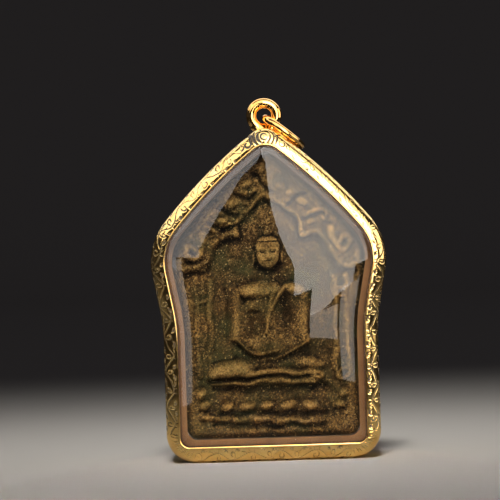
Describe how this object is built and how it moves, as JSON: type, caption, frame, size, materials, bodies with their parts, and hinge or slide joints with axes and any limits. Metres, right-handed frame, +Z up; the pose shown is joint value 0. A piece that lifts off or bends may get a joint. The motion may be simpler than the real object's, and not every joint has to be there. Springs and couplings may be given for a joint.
{
  "type": "amulet pendant",
  "caption": "Five-sided gold amulet case with a clear domed window over a cast clay tablet of a seated figure, a hanging loop on its apex and a jump ring through it.",
  "frame": {"origin": "centre of the bounding box's bottom, on the ground under the case's flat foot", "axes": "+Z up from the foot to the loop, -Y the way the window faces, +X to the right seen from the front"},
  "size_m": [0.0362, 0.0112, 0.0559],
  "materials": {
    "gold_case": "gold plated, polished, with engraved scrolls on the band",
    "gold_ring": "gold plated, polished",
    "clear_acrylic": "clear acrylic, polished",
    "clay": "matte pressed clay with gold dust on the raised parts"
  },
  "bodies": {
    "case": {"case_frame": "gold_case", "front_window": "clear_acrylic", "back_window": "clear_acrylic", "tablet": "clay"},
    "ring": {"jump_ring": "gold_ring"}
  },
  "joints": [
    {"name": "ring_swing", "type": "hinge", "parent": "case", "child": "ring", "pos_m": [0.0002, 0.0003, 0.05278], "axis": [0, -1, 0], "range_deg": [0, 254]}
  ]
}
